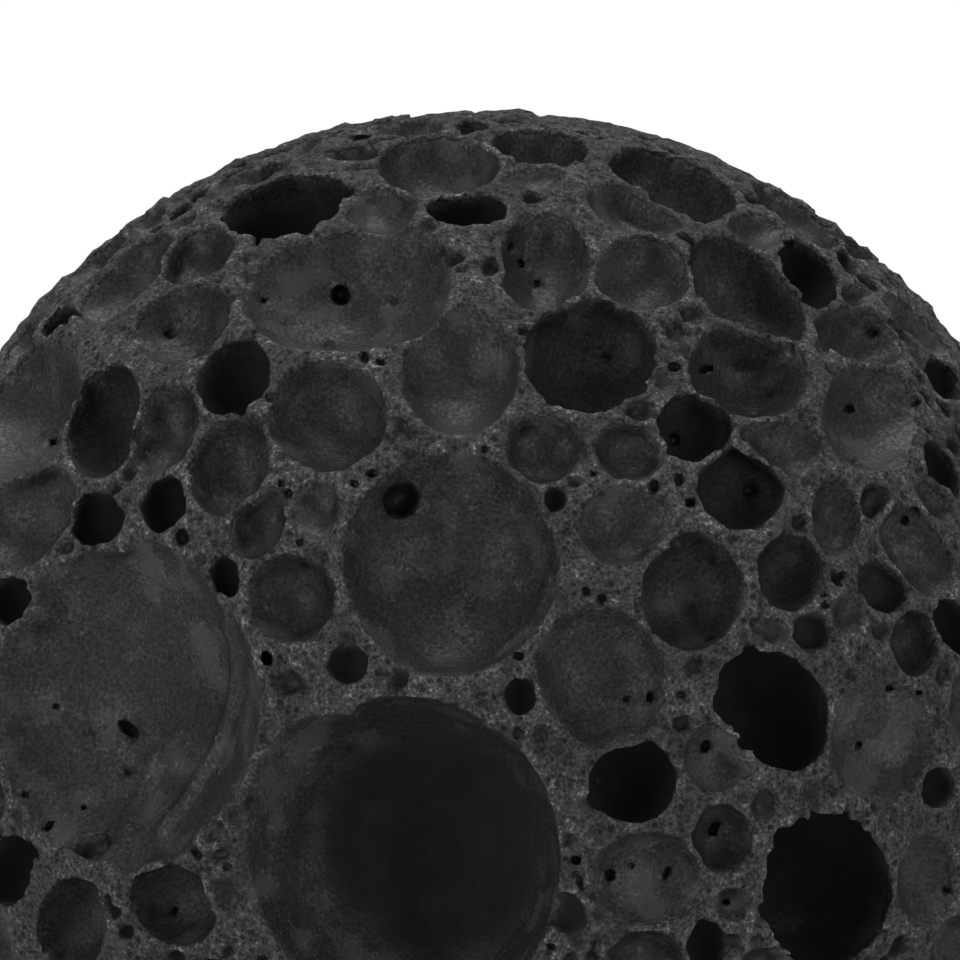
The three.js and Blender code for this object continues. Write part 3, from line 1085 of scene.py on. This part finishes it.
def lava_material():
    """Broken rock where the skin is near, and bubble lining deeper down, with a ragged join.

    The torn walls are granular, with pale specks on their crests and black pores between: the crests
    are painted lighter as painted highlight, and the pores and hollows darker as painted shade. The
    linings are darker, smoother and glossier, mottled, with fine specks, and painted near black as
    painted shade in their sharp creases and deep inside.
    """
    nodes = Nodes(bpy.data.materials.new("lava"))
    where = nodes.place()
    depth = nodes.add("ShaderNodeAttribute", attribute_name="depth").outputs["Fac"]
    ridge = nodes.add("ShaderNodeAttribute", attribute_name="ridge").outputs["Fac"]
    down = nodes.add("ShaderNodeAttribute", attribute_name="down").outputs["Fac"]
    grain = nodes.noise(where, GRAIN_SIZE, 2.0, 0.65)
    lumps = nodes.noise(where, LUMP_SIZE, 2.0, 0.6)
    patches = nodes.noise(where, PATCH_SIZE, 1.0, 0.6)
    holes = ragged_pores(nodes, where, PORE_CELL, *PORE_RADII, grain)

    edge = nodes.maths("ADD", depth, nodes.ramp(lumps, 0.3, 0.7, -0.15, 0.15))
    lining = nodes.maths(
        "MULTIPLY", nodes.ramp(edge, 0.10, 0.34), nodes.ramp(ridge, 0.03, 0.09, 1.0, 0.2)
    )

    # Painted highlight and painted shade: the walls' tone is raised where a vertex stands out on a
    # crest and lowered where it lies in a hollow; the pale crystals and specks follow this tone.
    crest = nodes.ramp(ridge, -0.10, 0.10, -0.12, 0.10, "LINEAR")
    tone = nodes.maths("ADD", grain, crest)
    tone = nodes.maths("ADD", tone, nodes.ramp(lumps, 0.25, 0.75, -0.10, 0.10, "LINEAR"))
    broken = nodes.mix(nodes.ramp(tone, 0.26, 0.80), *map(grey, WALL_GREYS))
    sparkling = nodes.maths(
        "MULTIPLY", nodes.ramp(tone, 0.62, 0.80), nodes.ramp(patches, 0.38, 0.62, 0.25, 1.0)
    )
    broken = nodes.mix(sparkling, broken, grey(CRYSTAL_GREY))
    broken = nodes.mix(nodes.ramp(patches, 0.34, 0.58, 0.38, 0.0), broken, grey(WALL_GREYS[0]))
    # Painted shade: the painted pores stand for small real holes, and are coloured near black for the
    # shade inside them.
    broken = nodes.mix(nodes.maths("MULTIPLY", holes, 0.85), broken, grey(HOLLOW_SHADE_GREY))

    smooth = nodes.mix(nodes.ramp(grain, 0.28, 0.72), *map(grey, LINING_GREYS))
    pale = nodes.maths("ADD", patches, nodes.ramp(grain, 0.25, 0.75, -0.08, 0.08, "LINEAR"))
    smooth = nodes.mix(nodes.ramp(pale, 0.46, 0.70, 0.0, 0.65), smooth, grey(PALE_GREY))
    specks = nodes.maths(
        "MULTIPLY", nodes.ramp(tone, 0.60, 0.76), nodes.ramp(patches, 0.40, 0.60, 0.2, 1.0)
    )
    smooth = nodes.mix(specks, smooth, grey(SPECK_GREY))
    # Painted shade: where the linings fold into sharp creases, by how far the ridge attribute falls
    # below 0, they are painted near black.
    smooth = nodes.mix(nodes.ramp(ridge, -0.015, -0.055, 0.0, 0.75), smooth, grey(HOLLOW_SHADE_GREY))
    # Painted shade: deep below the skin and far down inside deep bubbles the linings are painted near
    # black and made matt, standing in for the light that hardly reaches there.
    painted_deep_shade = nodes.maths("MAXIMUM", nodes.ramp(depth, 3.9, 6.2), nodes.ramp(down, 0.1, 0.9))
    smooth = nodes.mix(nodes.maths("MULTIPLY", painted_deep_shade, 0.85), smooth, grey(DEEP_SHADE_GREY))

    torn_height = nodes.maths(
        "SUBTRACT", nodes.maths("ADD", grain, lumps), nodes.maths("MULTIPLY", holes, 0.6)
    )
    calm_height = nodes.maths("MULTIPLY", nodes.maths("ADD", grain, lumps), 0.25)
    height = nodes.blend(lining, torn_height, calm_height)
    gloss = nodes.blend(painted_deep_shade, nodes.ramp(grain, 0.35, 0.65, 0.55, 0.36), 0.9)
    return nodes.finish({
        "Base Color": nodes.mix(lining, broken, smooth),
        "Roughness": nodes.blend(lining, 0.9, gloss),
        "Normal": nodes.bump(height, BUMP_HEIGHT),
        "Specular IOR Level": 0.27,
    })


def floor_material():
    nodes = Nodes(bpy.data.materials.new("floor"))
    where = nodes.place()
    shade = nodes.noise(where, 40.0, 2.0)
    colour = nodes.mix(shade, (0.80, 0.80, 0.79, 1.0), (0.84, 0.84, 0.83, 1.0))
    return nodes.finish({"Base Color": colour, "Roughness": 0.9})


# ---- the studio

FRAME_WIDTH = 48.0  # what the picture takes in at the stone's middle
EYE_RIGHT = -0.2  # the camera's place from the stone's middle
EYE_ABOVE = 12.0
LENS = 1500.0  # so long that the view is almost without perspective
SENSOR = 36.0
CLIP = (10.0, 10000.0)
FLOOR_RADIUS = 480.0
FLOOR_SIDES = 96
SKY_STRENGTH = (0.05, 0.50)  # the light tent's, near the floor and overhead
SKY_FRONT = 0.80  # the share of it on the camera's side
SKY_RISE = (-0.3, 0.9)  # it brightens between these sines of the height
SKY_TURN = (-0.9, -0.2)  # and dims between these on the way to the front
SIDE_TURN = math.radians(50)  # the side panels' direction from the camera's
SIDE_AWAY = 520.0
SIDE_UP = 60.0
SIDE_SIZE = 300.0
LEFT_WATTS = 0.79
RIGHT_WATTS = 0.62
TOP_PLACE = (0, 60, 560)
TOP_SIZE = 360.0
TOP_WATTS = 1.5


def make_camera():
    data = bpy.data.cameras.new("camera")
    data.lens = LENS
    data.sensor_width = SENSOR
    data.clip_start, data.clip_end = (end * MM for end in CLIP)
    camera = bpy.data.objects.new("camera", data)
    bpy.context.collection.objects.link(camera)
    away = FRAME_WIDTH * LENS / SENSOR
    camera.location = (STONE_MIDDLE + Vector((EYE_RIGHT, -away, EYE_ABOVE))) * MM
    camera.rotation_euler = (math.radians(90), 0, 0)
    bpy.context.scene.camera = camera


def soft_light(name, place, aim, size, watts):
    """A square panel of soft light, out of the camera's sight."""
    data = bpy.data.lights.new(name, "AREA")
    data.shape = "SQUARE"
    data.size = size * MM
    data.energy = watts
    light = bpy.data.objects.new(name, data)
    bpy.context.collection.objects.link(light)
    light.location = Vector(place) * MM
    light.rotation_mode = "QUATERNION"
    light.rotation_quaternion = (Vector(aim) - Vector(place)).to_track_quat("-Z", "Y")
    light.visible_camera = False


def make_lights():
    across, along = SIDE_AWAY * math.sin(SIDE_TURN), SIDE_AWAY * math.cos(SIDE_TURN)
    for name, side, watts in (("left_panel", -1, LEFT_WATTS), ("right_panel", 1, RIGHT_WATTS)):
        place = STONE_MIDDLE + Vector((side * across, -along, SIDE_UP))
        soft_light(name, place, STONE_MIDDLE, SIDE_SIZE, watts)
    soft_light("top_panel", TOP_PLACE, STONE_MIDDLE, TOP_SIZE, TOP_WATTS)


def make_world():
    """A light tent: even and soft, brighter overhead and dim in front, where the camera stands.
    Past the floor the camera sees plain white."""
    nodes = Nodes(bpy.data.worlds.new("studio"))
    place = nodes.add("ShaderNodeTexCoord").outputs["Generated"]
    direction = nodes.add("ShaderNodeSeparateXYZ", {"Vector": place}).outputs
    height = nodes.ramp(direction["Z"], *SKY_RISE, *SKY_STRENGTH)
    front = nodes.ramp(direction["Y"], *SKY_TURN, SKY_FRONT, 1.0)
    white = {"Color": (1, 1, 1, 1)}
    lit = nodes.add(
        "ShaderNodeBackground", {**white, "Strength": nodes.maths("MULTIPLY", height, front)}
    )
    seen = nodes.add("ShaderNodeBackground", white)
    by_camera = nodes.add("ShaderNodeLightPath").outputs["Is Camera Ray"]
    mixed = nodes.add(
        "ShaderNodeMixShader", {0: by_camera, 1: lit.outputs[0], 2: seen.outputs[0]}
    )
    nodes.add("ShaderNodeOutputWorld", {"Surface": mixed.outputs[0]})
    bpy.context.scene.world = nodes.owner


def make_floor():
    turns = np.linspace(0, 2 * math.pi, FLOOR_SIDES, endpoint=False)
    rim = np.stack([np.cos(turns), np.sin(turns), np.zeros_like(turns)], 1) * FLOOR_RADIUS * MM
    floor = mesh_object("floor", rim, np.arange(FLOOR_SIDES).reshape(1, -1))
    floor.data.materials.append(floor_material())


bpy.context.scene.view_settings.view_transform = "Standard"
make_camera()
stone = make_stone()
stone.data.materials.append(lava_material())
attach(stone, "root")
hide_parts(NODE)
make_world()
make_lights()
make_floor()
